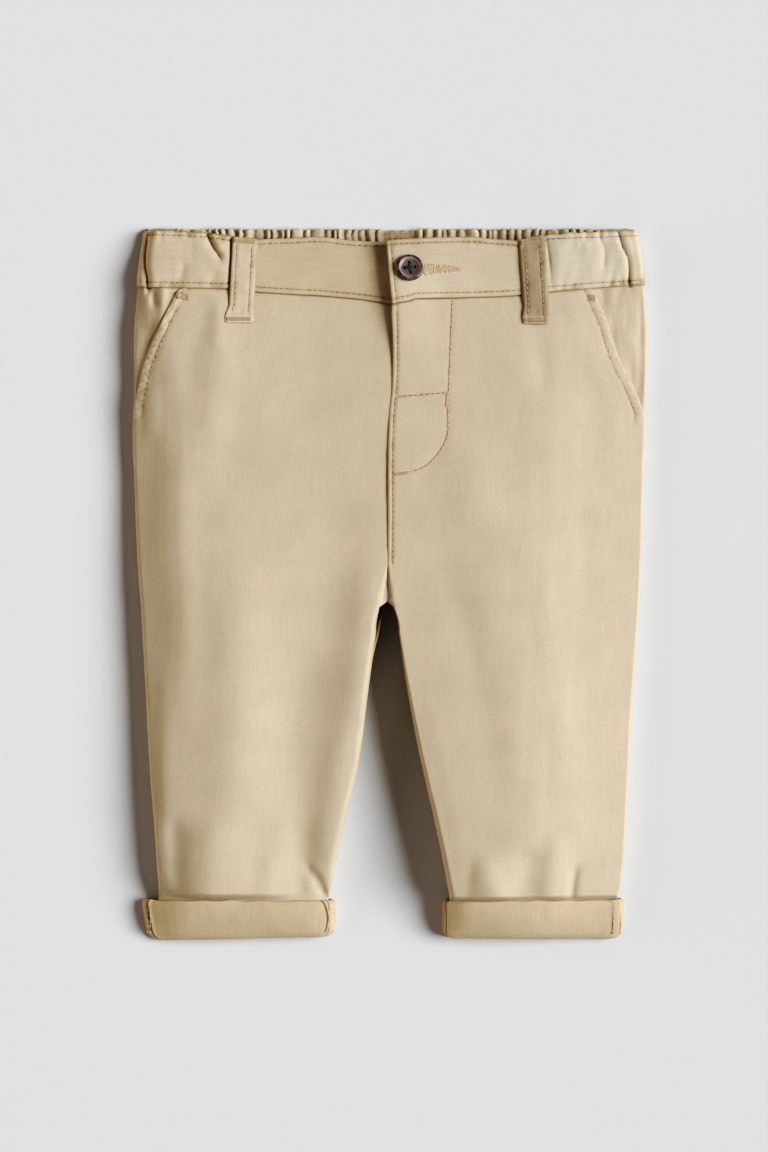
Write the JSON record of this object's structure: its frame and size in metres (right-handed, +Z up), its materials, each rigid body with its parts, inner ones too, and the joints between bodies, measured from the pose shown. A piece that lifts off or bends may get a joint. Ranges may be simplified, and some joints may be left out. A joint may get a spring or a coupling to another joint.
{
  "type": "chino trousers",
  "caption": "Baby's chino trousers laid flat, face up: mock fly with button, slanted pockets, belt loops, gathered back waist and turned-up legs.",
  "frame": {"origin": "centre of the footprint, on the surface that the garment lies on", "axes": "+X towards the wearer's left side, +Y from the leg ends towards the waist, +Z up from the surface, out of the front of the garment"},
  "size_m": [0.2483, 0.3422, 0.0251],
  "materials": {
    "twill": "washed cotton twill, right side",
    "twill_wrong_side": "washed cotton twill, wrong side",
    "button": "dark horn look, satin rim and matt centre"
  },
  "bodies": {
    "root": {"front_right": "twill", "front_left": "twill", "hip_right": "twill", "hip_left": "twill", "back_right": "twill", "back_left": "twill", "waistband_front_right": "twill", "waistband_front_left": "twill", "waistband_back": "twill", "belt_loop_right": "twill", "belt_loop_left": "twill", "cuff_right": "twill_wrong_side", "cuff_left": "twill_wrong_side", "button": "button"}
  },
  "joints": []
}
